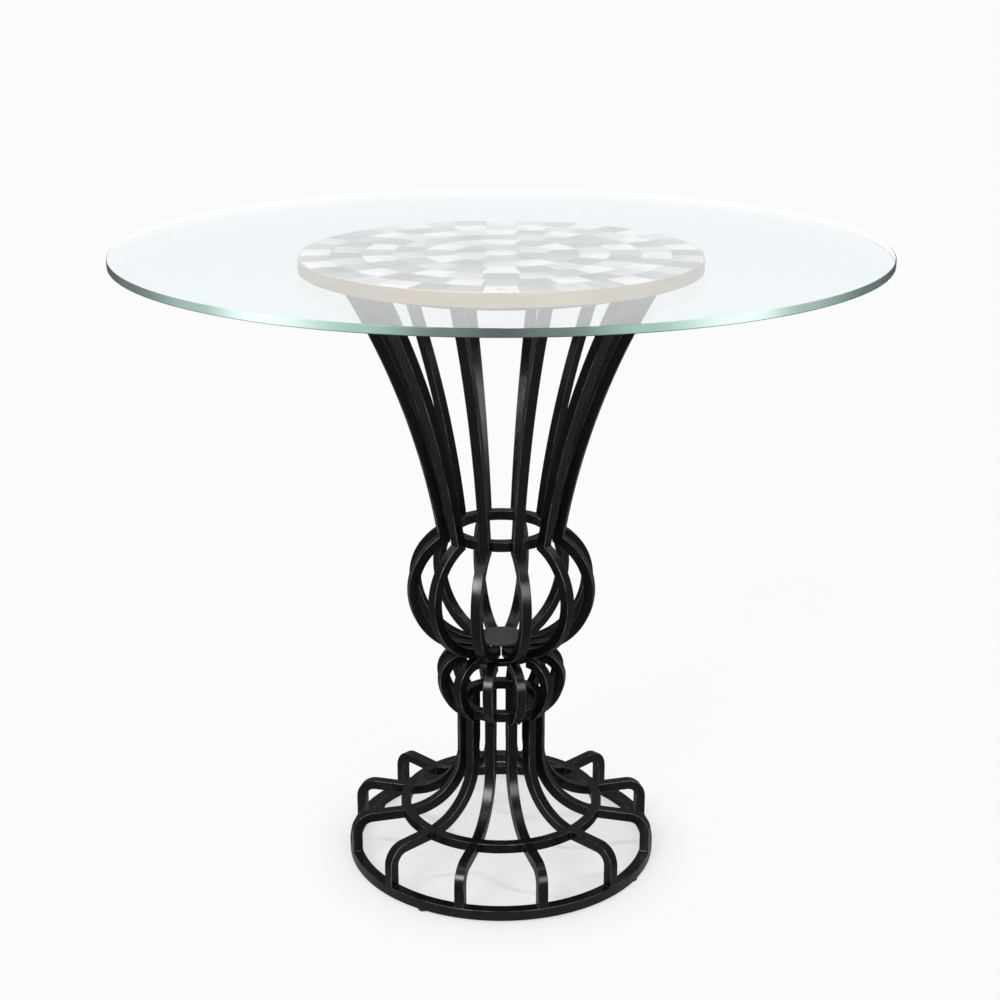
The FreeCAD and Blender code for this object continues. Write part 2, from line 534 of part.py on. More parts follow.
def flare_bar(body):
    """From the neck joint up and out to the mounting ring: a long bend with straight ends."""
    half, bend, run = (amount(e) for e in (HALF_BAR, "Sizes.FlareRadius", "Sizes.FlareEndRun"))
    neck = (amount("Sizes.NeckRadius"), amount(NECK_HEIGHT))
    head = (amount(MOUNTING_CENTRE_LINE), amount(MOUNTING_RING_BOTTOM))
    slope, quarter = math.radians(amount("Sizes.NeckMitreAngle")), math.pi / 2
    chord = math.dist(neck, head)
    half_turn = math.asin(chord / 2 / math.hypot(bend, run)) - math.atan2(run, bend)
    sag = bend * math.cos(half_turn) - run * math.sin(half_turn)
    across, up = (head[0] - neck[0]) / chord, (head[1] - neck[1]) / chord
    centre = ((neck[0] + head[0]) / 2 + sag * up, (neck[1] + head[1]) / 2 - sag * across)
    facing = math.atan2(across, -up)
    at_head, at_neck = facing - half_turn, facing + half_turn

    def around(radius, direction):
        return centre[0] + radius * math.cos(direction), centre[1] + radius * math.sin(direction)

    outline = Outline(body, "Flare")
    guide = outline.arc(centre, bend, at_head, at_neck, True)
    guide_head = outline.line(around(bend, at_head), head, True)
    guide_neck = outline.line(around(bend, at_neck), neck, True)
    outline.flow((guide, 1, guide_head, 1), (guide, 2, guide_neck, 1))
    head_corners, neck_corners, faces = [], [], []
    for radius in (bend - half, bend + half):
        head_start, neck_start = around(radius, at_head), around(radius, at_neck)
        head_corners.append(crossing(head_start, at_head - quarter, head, 0))
        neck_corners.append(crossing(neck_start, at_neck + quarter, neck, slope))
        bow = outline.arc(centre, radius, at_head, at_neck)
        head_run = outline.line(head_start, head_corners[-1])
        neck_run = outline.line(neck_start, neck_corners[-1])
        outline.flow((bow, 1, head_run, 1), (bow, 2, neck_run, 1))
        outline.meet((guide, 3, bow, 3))
        outline.rule("Parallel", head_run, guide_head)
        outline.rule("Parallel", neck_run, guide_neck)
        faces.append((bow, head_run, neck_run))
    (bow_out, head_out, neck_out), (bow_in, head_in, neck_in) = faces
    lid = outline.line(head_corners[0], head_corners[1])
    mitre = outline.line(neck_corners[1], neck_corners[0])
    outline.level(lid)
    outline.meet((head_out, 2, lid, 1), (lid, 2, head_in, 2))
    outline.meet((neck_in, 2, mitre, 1), (mitre, 2, neck_out, 2))
    outline.rule("PointOnObject", guide_head, 2, lid)
    outline.rule("PointOnObject", guide_neck, 2, mitre)
    outline.across("HeadAcross", MOUNTING_CENTRE_LINE, guide_head, 2)
    outline.height("HeadUp", MOUNTING_RING_BOTTOM, guide_head, 2)
    outline.across("NeckAcross", "Sizes.NeckRadius", guide_neck, 2)
    outline.height("NeckUp", NECK_HEIGHT, guide_neck, 2)
    outline.size("Bend", "Sizes.FlareRadius", "Radius", guide)
    outline.size("HeadRun", "Sizes.FlareEndRun", "Distance", guide_head)
    outline.size("NeckRun", "Sizes.FlareEndRun", "Distance", guide_neck)
    outline.size("BowOut", f"Sizes.FlareRadius - {HALF_BAR}", "Radius", bow_out)
    outline.size("BowIn", f"Sizes.FlareRadius + {HALF_BAR}", "Radius", bow_in)
    outline.size("Mitre", "Sizes.NeckMitreAngle", "Angle", mitre)
    bar_from(body, outline, [lid, mitre])


def turn_to(body, expression):
    """Turn a body round the Z axis of the table."""
    body.Placement = FreeCAD.Placement(FreeCAD.Vector(), FreeCAD.Vector(0, 0, 1), 0)
    body.setExpression("Placement.Rotation.Angle", expression)


def tier_of_bars(name, shape_bar):
    """One body for each bar of a tier, turned to its own direction."""
    for index in range(int(amount("Sizes.BarCount"))):
        body = new_body(f"{name}_{index + 1:02d}")
        shape_bar(body)
        turn_to(body, f"Sizes.FirstBarAngle + {index} * 360 / Sizes.BarCount")


def set_of_bars(name, shape_bar, turn):
    """All the bars of a tier in one body."""
    body = new_body(name)
    shape_bar(body)
    polar(body, "Sizes.BarCount")
    turn_to(body, turn)


def glides():
    """A turned foot with a stem that is pressed into the floor ring."""
    body = new_body("floor_glides")
    outline = Outline(body, "Glide", away=FLOOR_RING_LINE)
    foot, stem = amount("Sizes.GlideRadius"), amount("Sizes.GlideStemRadius")
    rise = amount("Sizes.GlideHeight")
    tip = rise + amount("Sizes.GlideStemLength")
    base = outline.line((0, 0), (foot, 0))
    rim = outline.line((foot, 0), (foot, rise))
    seat = outline.line((foot, rise), (stem, rise))
    shank = outline.line((stem, rise), (stem, tip))
    end = outline.line((stem, tip), (0, tip))
    core = outline.line((0, tip), (0, 0))
    outline.meet((base, 2, rim, 1), (rim, 2, seat, 1), (seat, 2, shank, 1))
    outline.meet((shank, 2, end, 1), (end, 2, core, 1), (core, 2, base, 1), (base, 1, -1, 1))
    outline.level(base, seat, end)
    outline.upright(rim, shank, core)
    outline.across("Foot", "Sizes.GlideRadius", rim, 1)
    outline.across("Stem", "Sizes.GlideStemRadius", shank, 1)
    outline.height("Seat", "Sizes.GlideHeight", seat, 1)
    outline.height("Tip", "Sizes.GlideHeight + Sizes.GlideStemLength", end, 1)
    turned = revolve(body, outline)
    edges = circles_at(turned, [(foot, 0)])
    dress(body, "Fillet", turned, edges, "Radius", "Sizes.GlideEdge")
    polar(body, "Sizes.GlideCount")
    turn_to(body, "Sizes.FirstGlideAngle")


def wood_screws():
    """A turned screw: round head below, shank up, pointed end."""
    body = new_body("disc_screws")
    outline = Outline(body, "Screw", away=MOUNTING_CENTRE_LINE)
    under = f"({MOUNTING_RING_BOTTOM} - Sizes.ScrewHeadHeight)"
    tip = f"({MOUNTING_RING_BOTTOM} + Sizes.ScrewLength)"
    socket_top = f"({under} + Sizes.ScrewSocketDepth)"
    head, shank = amount("Sizes.ScrewHeadRadius"), amount("Sizes.ScrewShankRadius")
    socket = amount("Sizes.ScrewSocketRadius")
    low, floor = amount(under), amount(socket_top)
    seat, point_z = amount(MOUNTING_RING_BOTTOM), amount(f"{tip} - Sizes.ScrewPoint")
    places = [
        (0, floor),
        (socket, floor),
        (socket, low),
        (head, low),
        (head, seat),
        (shank, seat),
        (shank, point_z),
        (0, amount(tip)),
    ]
    sides = [outline.line(a, b) for a, b in zip(places, places[1:] + places[:1])]
    for side, following in zip(sides, sides[1:] + sides[:1]):
        outline.meet((side, 2, following, 1))
    outline.level(sides[0], sides[2], sides[4])
    outline.upright(sides[1], sides[3], sides[5])
    outline.rule("PointOnObject", sides[0], 1, -2)
    outline.rule("PointOnObject", sides[7], 1, -2)
    outline.across("Socket", "Sizes.ScrewSocketRadius", sides[1], 1)
    outline.across("Head", "Sizes.ScrewHeadRadius", sides[3], 1)
    outline.across("Shank", "Sizes.ScrewShankRadius", sides[5], 1)
    outline.height("SocketTop", socket_top, sides[0], 1)
    outline.height("Under", under, sides[2], 1)
    outline.height("Seat", MOUNTING_RING_BOTTOM, sides[4], 1)
    outline.height("PointStart", f"{tip} - Sizes.ScrewPoint", sides[5], 2)
    outline.height("Tip", tip, sides[7], 1)
    turned = revolve(body, outline)
    edges = circles_at(turned, [(head, low)])
    dress(body, "Fillet", turned, edges, "Radius", "Sizes.ScrewHeadEdge")
    polar(body, "Sizes.ScrewCount")
    turn_to(body, "Sizes.FirstScrewAngle")


def disc(name, radius, bottom, thickness, edge=None):
    """A round plate, padded from a circle, with its edges rounded if asked."""
    body = new_body(name)
    outline = Outline(body, "Plate", "XY_Plane", bottom)
    rim = outline.circle((0, 0), amount(radius))
    outline.meet((rim, 3, -1, 1))
    outline.size("Reach", radius, "Radius", rim)
    pad = body.newObject("PartDesign::Pad", "Plate")
    pad.Profile = outline.sketch
    pad.setExpression("Length", thickness)
    body.Tip = pad
    doc.recompute()
    if edge:
        low, high = amount(bottom), amount(f"{bottom} + {thickness}")
        edges = circles_at(pad, [(amount(radius), low), (amount(radius), high)])
        dress(body, "Fillet", pad, edges, "Radius", edge)
    return body


def bumpers():
    """Small clear discs that hold the glass off the inlay."""
    body = new_body("glass_bumpers")
    outline = Outline(body, "Bumper", "XY_Plane", INLAY_TOP)
    away = "(Sizes.DiscRadius - Sizes.BumperInset)"
    rim = outline.circle((amount(away), 0), amount("Sizes.BumperRadius"))
    outline.size("Reach", "Sizes.BumperRadius", "Radius", rim)
    outline.rule("PointOnObject", rim, 3, -1)
    outline.across("Away", away, rim, 3)
    pad = body.newObject("PartDesign::Pad", "Bumper")
    pad.Profile = outline.sketch
    pad.setExpression("Length", "Sizes.BumperThickness")
    body.Tip = pad
    polar(body, "Sizes.BumperCount")


def hub_plate():
    """A round plate on the inner ends of the ball bars."""
    body = disc("hub_plate", HUB_RADIUS, HUB_PLATE_BOTTOM, "Sizes.HubThickness")
    plate = body.Tip
    reach, low = amount(HUB_RADIUS), amount(HUB_PLATE_BOTTOM)
    under = circles_at(plate, [(reach, low)])
    cut = dress(body, "Chamfer", plate, under, "Size", "Sizes.HubUnderEdge")
    top = circles_at(cut, [(reach, low + amount("Sizes.HubThickness"))])
    dress(body, "Fillet", cut, top, "Radius", "Sizes.BarEdge")


# Base, from the floor up
glides()
floor_ring = ring("floor_ring", "Sizes.FloorRingRadius", "Sizes.GlideHeight", FLOOR_BAR, FLOOR_BAR)
cut_holes(
    floor_ring,
    "StemHole",
    "Sizes.GlideStemRadius + Sizes.StemFit",
    "Sizes.GlideHeight - Sizes.CutOverrun",
    "Sizes.GlideHoleDepth + Sizes.CutOverrun",
    FLOOR_RING_LINE,
    "Sizes.GlideCount",
)
turn_to(floor_ring, "Sizes.FirstGlideAngle")
set_of_bars("foot_bars", foot_bar, "Sizes.FirstBarAngle")
ring("foot_ring", "Sizes.FootRingRadius", "(Sizes.FootRingTop - Sizes.BarSize)")

# Column and bulb
tier_of_bars("column_bar", column_bar)
ring("column_ring", "Sizes.ColumnRadius", COLUMN_RING_BOTTOM)
set_of_bars("bulb_bars", bulb_bar, "Sizes.FirstBarAngle + Sizes.BulbTurn")
ring(
    "waist_ring",
    "Sizes.WaistRingRadius",
    f"({WAIST_RING_TOP} - Sizes.WaistRingThickness)",
    "Sizes.WaistRingThickness",
)

# Ball, neck and flare
tier_of_bars("ball_bar", ball_bar)
hub_plate()
ring("collar_ring", COLLAR_RADIUS, COLLAR_BOTTOM)
tier_of_bars("flare_bar", flare_bar)

# Top
mounting_ring = ring("mounting_ring", "Sizes.MountingRingRadius", MOUNTING_RING_BOTTOM)
cut_holes(
    mounting_ring,
    "ScrewHole",
    "Sizes.ScrewShankRadius + Sizes.ScrewRingFit",
    f"{MOUNTING_RING_BOTTOM} - Sizes.CutOverrun",
    "Sizes.BarSize + 2 * Sizes.CutOverrun",
    MOUNTING_CENTRE_LINE,
    "Sizes.ScrewCount",
)
turn_to(mounting_ring, "Sizes.FirstScrewAngle")
wood_screws()
core = disc("disc_core", CORE_RADIUS, CORE_BOTTOM, "Sizes.DiscCoreThickness")
cut_holes(
    core,
    "PilotHole",
    "Sizes.ScrewShankRadius + Sizes.ScrewWoodFit",
    f"{CORE_BOTTOM} - Sizes.CutOverrun",
    "Sizes.ScrewLength - Sizes.BarSize + Sizes.ScrewHoleRoom + Sizes.CutOverrun",
    MOUNTING_CENTRE_LINE,
    "Sizes.ScrewCount",
)
turn_to(core, "Sizes.FirstScrewAngle")
disc("inlay_top", CORE_RADIUS, CORE_TOP, "Sizes.InlayThickness")
ring(
    "disc_rim",
    "Sizes.DiscRadius",
    CORE_BOTTOM,
    "(Sizes.DiscCoreThickness + Sizes.InlayThickness)",
    "Sizes.RimThickness",
    "Sizes.RimEdge",
)
bumpers()
disc("glass_top", "Sizes.GlassRadius", GLASS_BOTTOM, "Sizes.GlassThickness", "Sizes.GlassEdge")

doc.recompute()

# Nothing is written unless every feature and every solid is sound.
for item in doc.Objects:
    if "Invalid" in item.State or "Error" in item.State:
        raise RuntimeError(f"{item.Name} failed: {item.State}")
for body in NODES:
    if body.Shape.isNull() or not body.Shape.isValid():
        raise RuntimeError(f"{body.Label} has no sound shape")
for body in NODES:
    body.Shape.exportStep(f"parts/{body.Label}.step")
print(f"{len(NODES)} nodes written")
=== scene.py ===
"""The looks of the accent table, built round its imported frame. Metres, +Z up, floor at zero."""

import math
import random

import bmesh
import bpy
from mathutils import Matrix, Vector


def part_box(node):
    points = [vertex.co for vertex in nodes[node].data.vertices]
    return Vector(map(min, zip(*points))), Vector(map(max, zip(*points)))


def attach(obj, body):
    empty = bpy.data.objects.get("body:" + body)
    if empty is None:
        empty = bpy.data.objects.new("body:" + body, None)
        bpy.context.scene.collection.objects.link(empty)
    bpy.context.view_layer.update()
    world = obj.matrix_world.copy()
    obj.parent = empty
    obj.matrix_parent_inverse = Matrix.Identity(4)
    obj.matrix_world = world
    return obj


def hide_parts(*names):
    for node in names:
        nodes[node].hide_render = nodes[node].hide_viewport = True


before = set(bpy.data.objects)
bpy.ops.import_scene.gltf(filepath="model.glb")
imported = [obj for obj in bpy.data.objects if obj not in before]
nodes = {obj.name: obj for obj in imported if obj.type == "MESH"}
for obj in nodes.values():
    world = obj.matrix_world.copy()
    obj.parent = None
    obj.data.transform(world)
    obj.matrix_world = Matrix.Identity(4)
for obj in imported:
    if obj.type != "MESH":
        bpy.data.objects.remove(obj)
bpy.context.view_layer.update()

# Camera, as the photograph was taken: place, downward pitch, lens and sensor width in mm
CAMERA_PLACE = (-0.0014, -1.938, 1.0958)
CAMERA_PITCH = math.radians(18.25)
CAMERA_LENS = 61.85
CAMERA_SENSOR = 36

# Floor: its level in the picture, the light that falls on it, and its tones under and off the table
FLOOR_SIZE = 60
FLOOR_LEVEL = 0.965
FLOOR_LIGHT = 1.358
FLOOR_TONE_NEAR = 0.29
FLOOR_TONE_FAR = 0.05
FLOOR_FADE_START = 0.195
FLOOR_FADE_END = 0.25

# Painted shadow: faint dark streaks inside the floor ring, their depth, width and fade towards the ring
PAINTED_SHADOW_STREAK_DEPTH = 0.14
PAINTED_SHADOW_STREAK_WIDTH = 0.035
PAINTED_SHADOW_STREAK_FADE = 0.03

# Room: level at the walls and overhead, and the heights between which it changes
ROOM_LEVEL = 1.14
ROOF_LEVEL = 0.9
ROOF_START = 0.25
ROOF_END = 0.75

# Shares of the room's and the floor's light that a satin face mirrors
SATIN_ROOM = 0.16
SATIN_FLOOR = 0.08

# Soft lamps: direction that they shine from, strength, and width of the source
LAMPS = (
    ("key", (-0.5, -0.85, 0.62), 1.25, math.radians(20)),
    ("fill", (0.53, -0.85, 0.4), 0.7, math.radians(24)),
    ("top", (-0.3, -0.25, 1), 0.3, math.radians(70)),
)

# Iron: tones of the bars and of the hub plate, the plate's extra roughness, tone of a rubbed edge. The
# plate's paler tones are a painted sheen; the rubbed edge is real rubbing of the paint and also a painted
# highlight.
IRON_TONES = ((0.0012, 0.0012, 0.0011), (0.0028, 0.0027, 0.0024))
PLATE_TONES_PAINTED_SHEEN = ((0.034, 0.0315, 0.030), (0.055, 0.0515, 0.0485))
PLATE_DULL = 0.16
IRON_RUBBED_AND_GLINT = (0.08, 0.08, 0.076)

# Edges, where the rubbed and painted-highlight tone goes: how far a normal leans where a face turns into the
# next
ARRIS_LOW = 0.22
ARRIS_HIGH = 0.97
ARRIS_FADE = 0.12

# Glass: refraction of its surfaces and of its body, which bends nothing, and its tints
GLASS_IOR = 1.52
GLASS_BODY_IOR = 1.001
GLASS_DEPTH_TONE = (0.40, 0.60, 0.67, 1)
GLASS_DEPTH = 6.0
GLASS_SHADOW_TONE = (0.97, 0.985, 0.98, 1)
# Painted shade: how dark the glass's edge is painted on its under side
GLASS_UNDER_EDGE_PAINTED_SHADE = 0.2

# Tones of the glass's edge, by the share of the way from the middle to the side; the two ends first. The
# green is the glass's own; the pale bands and the dark middle are painted glints and painted shade.
GLASS_EDGE_GREEN_AND_PAINTED_GLINTS = (
    (0.0, (0.07, 0.09, 0.09)),
    (1.0, (0.02, 0.03, 0.03)),
    (0.12, (0.11, 0.15, 0.14)),
    (0.30, (0.26, 0.40, 0.36)),
    (0.52, (0.66, 0.84, 0.79)),
    (0.66, (0.28, 0.40, 0.37)),
    (0.85, (0.11, 0.16, 0.15)),
)

# Bars, as in the CAD: half their width, their edge radius, number in a tier, first directions
BAR_HALF = 0.006
BAR_EDGE = 0.001
BAR_COUNT = 12
BAR_FIRST = math.radians(15)
BULB_FIRST = math.radians(18)

# Welds: small hollow fillets where bars meet rings; on level faces, half bars in from the outside
WELD_LEG = 0.0032
WELD_SPREAD = (0.85, 1.15)
WELD_STEPS = 6
WELD_SINK = 0.0002
WELD_INNER = 1.7
WELD_OUTER = 0.3
WELD_SEED = 5

# Inlay: wedge tiles in rings round a plain middle, in running bond
TILE_RINGS = 6
TILE_LEAST = 6
TILE_LENGTH = 0.037
TILE_MIDDLE_RADIUS = 0.019
TILE_MIDDLE_SIDES = 32
TILE_JOINT = 0.0009
TILE_EDGE = 0.0004
TILE_BED_DEPTH = 0.0006
TILE_BED_SIDES = 240
TILE_ARC_STEP = 0.008
TILE_SHIFTS = 40
TILE_SEED = 11
TILE_SLIVER = 0.15
TILE_TONES = (
    ("tile_white", (0.72, 0.665, 0.655)),
    ("tile_pearl", (0.50, 0.46, 0.455)),
    ("tile_silver", (0.30, 0.276, 0.272)),
    ("tile_smoke", (0.20, 0.184, 0.182)),
)
TILE_WEIGHTS = (4, 2, 3, 3)

# The colour sockets of a Mix node, which share their names with its other sockets
MIX_FIRST = 6
MIX_SECOND = 7
MIX_RESULT = 2


class Graph:
    """A node tree, built up node by node."""

    def __init__(self, tree):
        self.tree = tree

    def node(self, kind, links=None, **values):
        """A new node with its properties set and its inputs fed."""
        made = self.tree.nodes.new(kind)
        for key, value in values.items():
            setattr(made, key, value)
        for key, source in (links or {}).items():
            self.feed(made.inputs[key], source)
        return made

    def feed(self, socket, source):
        """Link a node's output to a socket, or set a plain value on it."""
        if isinstance(source, bpy.types.NodeSocket):
            self.tree.links.new(source, socket)
        else:
            socket.default_value = source

    def maths(self, operation, *terms, clamp=False):
        """A number worked out from others."""
        made = self.node("ShaderNodeMath", dict(enumerate(terms)), operation=operation, use_clamp=clamp)
        return made.outputs[0]

    def vector(self, operation, *terms, result="Vector"):
        """A vector, or a number, worked out from vectors."""
        made = self.node("ShaderNodeVectorMath", dict(enumerate(terms)), operation=operation)
        return made.outputs[result]

    def part(self, axis, source):
        """One part of a vector."""
        return self.node("ShaderNodeSeparateXYZ", {"Vector": source}).outputs[axis]

    def span(self, factor, low, high, start=0.0, end=1.0, **values):
        """A number between two ends of a factor."""
        links = {"Value": factor, "From Min": start, "From Max": end, "To Min": low, "To Max": high}
        return self.node("ShaderNodeMapRange", links, **values).outputs["Result"]


class Finish(Graph):
    """A procedural material in object coordinates."""

    def __init__(self, name):
        self.material = bpy.data.materials.new(name)
        self.material.use_nodes = True
        super().__init__(self.material.node_tree)
        self.shader = self.tree.nodes["Principled BSDF"]
        self.output = self.tree.nodes["Material Output"]
        self.place = self.node("ShaderNodeTexCoord").outputs["Object"]

    def set(self, **values):
        """Give the main shader its values, by socket name with underscores for spaces."""
        for key, source in values.items():
            self.feed(self.shader.inputs[key.replace("_", " ")], source)

    def noise(self, scale, detail=3.0, roughness=0.5, place=None):
        """A cloudy factor, centred on a half."""
        links = {"Vector": place or self.place, "Scale": scale, "Detail": detail, "Roughness": roughness}
        return self.node("ShaderNodeTexNoise", links).outputs["Fac"]

    def stretch(self, scales, place=None):
        """Coordinates scaled along each axis."""
        made = self.node("ShaderNodeMapping", {"Vector": place or self.place, "Scale": scales})
        return made.outputs["Vector"]

    def ramp(self, factor, low, high, start=0.3, end=0.7):
        """Colours or greys between two ends of a factor."""
        made = self.node("ShaderNodeValToRGB", {"Fac": factor})
        for element, stop, tone in zip(made.color_ramp.elements, (start, end), (low, high)):
            element.position = stop
            element.color = (*tone, 1)
        return made.outputs["Color"]

    def bump(self, height, depth, under=None):
        """A normal that leans with a height, over another bump where one is given."""
        links = {"Height": height, "Distance": depth, "Strength": 1.0}
        if under is not None:
            links["Normal"] = under
        return self.node("ShaderNodeBump", links).outputs["Normal"]


def edge_rub_and_glint_mask(finish, shape):
    """Where a face turns into the next one, which takes the rubbed, painted-highlight tone: for rings by
    height, for bars round the axis.
    """
    facing = finish.node("ShaderNodeNewGeometry").outputs["Normal"]
    if shape == "ring":
        lean = finish.part("Z", facing)
    else:
        away = finish.vector("NORMALIZE", finish.vector("MULTIPLY", finish.place, (1, 1, 0)))
        round_axis = finish.vector("CROSS_PRODUCT", (0, 0, 1), away)
        lean = finish.vector("DOT_PRODUCT", facing, round_axis, result="Value")
    size = finish.maths("ABSOLUTE", lean)
    rising = finish.span(size, 0, 1, ARRIS_LOW, ARRIS_LOW + ARRIS_FADE)
    falling = finish.span(size, 1, 0, ARRIS_HIGH - ARRIS_FADE, ARRIS_HIGH)
    return finish.maths("MULTIPLY", rising, falling)


def black_iron(name, shape=None, tones=IRON_TONES, dull=0.0):
    """Hand-rubbed black iron: warm black and satin, paler along a ring's or bar's edges, which is real
    rubbing and also a painted highlight.
    """
    finish = Finish(name)
    colour = finish.ramp(finish.noise(14, 4), *tones)
    if shape:
        # Paler edges: real rubbing of the paint, and also a painted highlight along each edge.
        patches = finish.span(finish.noise(26, 5, 0.7), 0.04, 1, 0.40, 0.64)
        rub_and_glint = finish.maths("MULTIPLY", edge_rub_and_glint_mask(finish, shape), patches)
        links = {"Factor": rub_and_glint, MIX_FIRST: colour, MIX_SECOND: (*IRON_RUBBED_AND_GLINT, 1)}
        colour = finish.node("ShaderNodeMix", links, data_type="RGBA").outputs[MIX_RESULT]
    dents = finish.bump(finish.noise(45, 1), 0.00018)
    finish.set(
        Base_Color=colour,
        Roughness=finish.span(finish.noise(55, 5, 0.6), 0.19 + dull, 0.31 + dull, 0.25, 0.75),
        Specular_IOR_Level=0.5,
        Normal=finish.bump(finish.noise(1400, 2), 0.00001, dents),
    )
    return finish.material


def gilt():
    """Gold band, softly brushed round. It looks pale through the glass."""
    finish = Finish("gilt_rim")
    brushed = finish.noise(8, 4, 0.6, finish.stretch((4, 4, 420)))
    finish.set(
        Base_Color=finish.ramp(finish.noise(9, 3), (0.92, 0.58, 0.18), (1.0, 0.70, 0.30)),
        Metallic=0.85,
        Roughness=finish.span(brushed, 0.22, 0.40),
        Normal=finish.bump(brushed, 0.00003),
    )
    return finish.material


def board():
    """Plain sealed board of the support disc."""
    finish = Finish("disc_wood")
    grain = finish.noise(11, 6, 0.65, finish.stretch((1.2, 26, 26)))
    pores = finish.noise(60, 3, 0.6, finish.stretch((1, 40, 40)))
    finish.set(
        Base_Color=finish.ramp(grain, (0.17, 0.115, 0.07), (0.36, 0.26, 0.165)),
        Roughness=finish.span(pores, 0.45, 0.62),
        Normal=finish.bump(pores, 0.00008),
    )
    return finish.material


def clear_soft_plastic():
    """Clear bumpers: hardly more than a faint haze between the disc and the glass."""
    finish = Finish("bumper_clear")
    cloud = finish.noise(600, 2)
    finish.set(
        Base_Color=finish.ramp(cloud, (0.80, 0.82, 0.82), (0.92, 0.94, 0.94)),
        Roughness=finish.span(cloud, 0.2, 0.4),
        Alpha=0.06,
    )
    return finish.material


def black_plastic():
    """Matt black plastic of the glides."""
    finish = Finish("glide_black")
    grain = finish.noise(900, 3)
    finish.set(
        Base_Color=finish.ramp(grain, (0.012, 0.012, 0.012), (0.03, 0.03, 0.03)),
        Roughness=finish.span(grain, 0.5, 0.7),
        Normal=finish.bump(grain, 0.00005),
    )
    return finish.material


def zinc():
    """Zinc plated steel of the screws."""
    finish = Finish("screw_steel")
    cloud = finish.noise(420, 4)
    finish.set(
        Base_Color=finish.ramp(cloud, (0.42, 0.43, 0.44), (0.62, 0.62, 0.60)),
        Metallic=1.0,
        Roughness=finish.span(cloud, 0.28, 0.48),
    )
    return finish.material


def tile_finish(name, tone):
    """Lacquered inlay: one tone with fine streaks along the tile, under a thin coat, and lighter towards the
    tile's outer side, a painted sheen.
    """
    finish = Finish(name)
    own_place = finish.node("ShaderNodeUVMap", uv_map="tile").outputs["UV"]
    streaks = finish.noise(1, 4, 0.6, finish.stretch((1.6, 15, 1), own_place))
    cloud = finish.noise(1.3, 2, 0.5, own_place)
    # Painted sheen: each tile is lighter towards its outer side.
    share = finish.maths("FRACT", finish.part("Y", own_place))
    mixed = finish.maths("ADD", streaks, cloud)
    with_painted_light = finish.maths("ADD", mixed, finish.span(share, -0.16, 0.16))
    low = tuple(c * 0.80 for c in tone)
    high = tuple(min(c * 1.1, 0.95) for c in tone)
    finish.set(
        Base_Color=finish.ramp(with_painted_light, low, high, 0.72, 1.28),
        Roughness=finish.span(streaks, 0.22, 0.4),
        Specular_IOR_Level=0.0,
        Coat_Weight=0.08,
        Coat_Roughness=0.2,
        Normal=finish.bump(streaks, 0.00003),
    )
    return finish.material


def grout():
    """Grey bed that shows in the joints of the inlay."""
    finish = Finish("tile_bed")
    grain = finish.noise(700, 3)
    finish.set(
        Base_Color=finish.ramp(grain, (0.20, 0.20, 0.20), (0.30, 0.30, 0.30)),
        Roughness=finish.span(grain, 0.6, 0.8),
        Normal=finish.bump(grain, 0.00006),
    )
    return finish.material


def glass_edge_with_painted_glints(finish, upright):
    """Shader of the glass's edge: the green of its whole width, with painted glints and painted shade across
    its sides, and darker on its under side, a painted shade.
    """
    away = finish.maths("ABSOLUTE", finish.part("X", finish.place))
    tones = finish.node("ShaderNodeValToRGB", {"Fac": finish.span(away, 0, 1, 0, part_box("glass_top")[1].x)})
    ramp = tones.color_ramp
    ramp.interpolation = "EASE"
    for index, (stop, tone) in enumerate(GLASS_EDGE_GREEN_AND_PAINTED_GLINTS):
        element = ramp.elements[index] if index < 2 else ramp.elements.new(stop)
        element.position = stop
        element.color = (*tone, 1)
    # Painted shade: the edge is darker towards its under side.
    under = finish.span(upright, GLASS_UNDER_EDGE_PAINTED_SHADE, 1, -0.4, -0.05)
    with_painted_light = finish.node(
        "ShaderNodeVectorMath", {0: tones.outputs["Color"], "Scale": under}, operation="SCALE"
    )
    links = {"Base Color": with_painted_light.outputs["Vector"], "Roughness": 0.08, "IOR": GLASS_IOR}
    return finish.node("ShaderNodeBsdfPrincipled", links).outputs[0]


def clear_glass():
    """Clear float glass with a flat polished edge, on which glints and shade are painted."""
    finish = Finish("table_glass")
    finish.set(
        Base_Color=(1, 1, 1, 1),
        Transmission_Weight=1.0,
        IOR=GLASS_BODY_IOR,
        Roughness=0.0,
        Coat_Weight=1.0,
        Coat_IOR=GLASS_IOR,
        Coat_Roughness=0.0,
    )
    depth = finish.node("ShaderNodeVolumeAbsorption", {"Color": GLASS_DEPTH_TONE, "Density": GLASS_DEPTH})
    finish.feed(finish.output.inputs["Volume"], depth.outputs["Volume"])
    facing = finish.node("ShaderNodeNewGeometry").outputs
    upright = finish.part("Z", facing["Normal"])
    # Outside faces of the edge take the painted glints and painted shade.
    on_edge = finish.span(finish.maths("ABSOLUTE", upright), 1, 0, 0.93, 0.97)
    outside = finish.span(facing["Backfacing"], 1, 0)
    mask = finish.maths("MULTIPLY", on_edge, outside)
    links = {0: mask, 1: finish.shader.outputs[0], 2: glass_edge_with_painted_glints(finish, upright)}
    body = finish.node("ShaderNodeMixShader", links).outputs[0]
    clear = finish.node("ShaderNodeBsdfTransparent", {"Color": GLASS_SHADOW_TONE}).outputs[0]
    shadow = finish.node("ShaderNodeLightPath").outputs["Is Shadow Ray"]
    whole = finish.node("ShaderNodeMixShader", {0: shadow, 1: body, 2: clear}).outputs[0]
    finish.feed(finish.output.inputs["Surface"], whole)
    return finish.material


def dress(names, material):
    """Give CAD nodes their material."""
    for name in names:
        for slot in nodes[name].material_slots:
            slot.material = material


def add_object(name, data):
    """A new object in the scene."""
    piece = bpy.data.objects.new(name, data)
    bpy.context.scene.collection.objects.link(piece)
    return piece


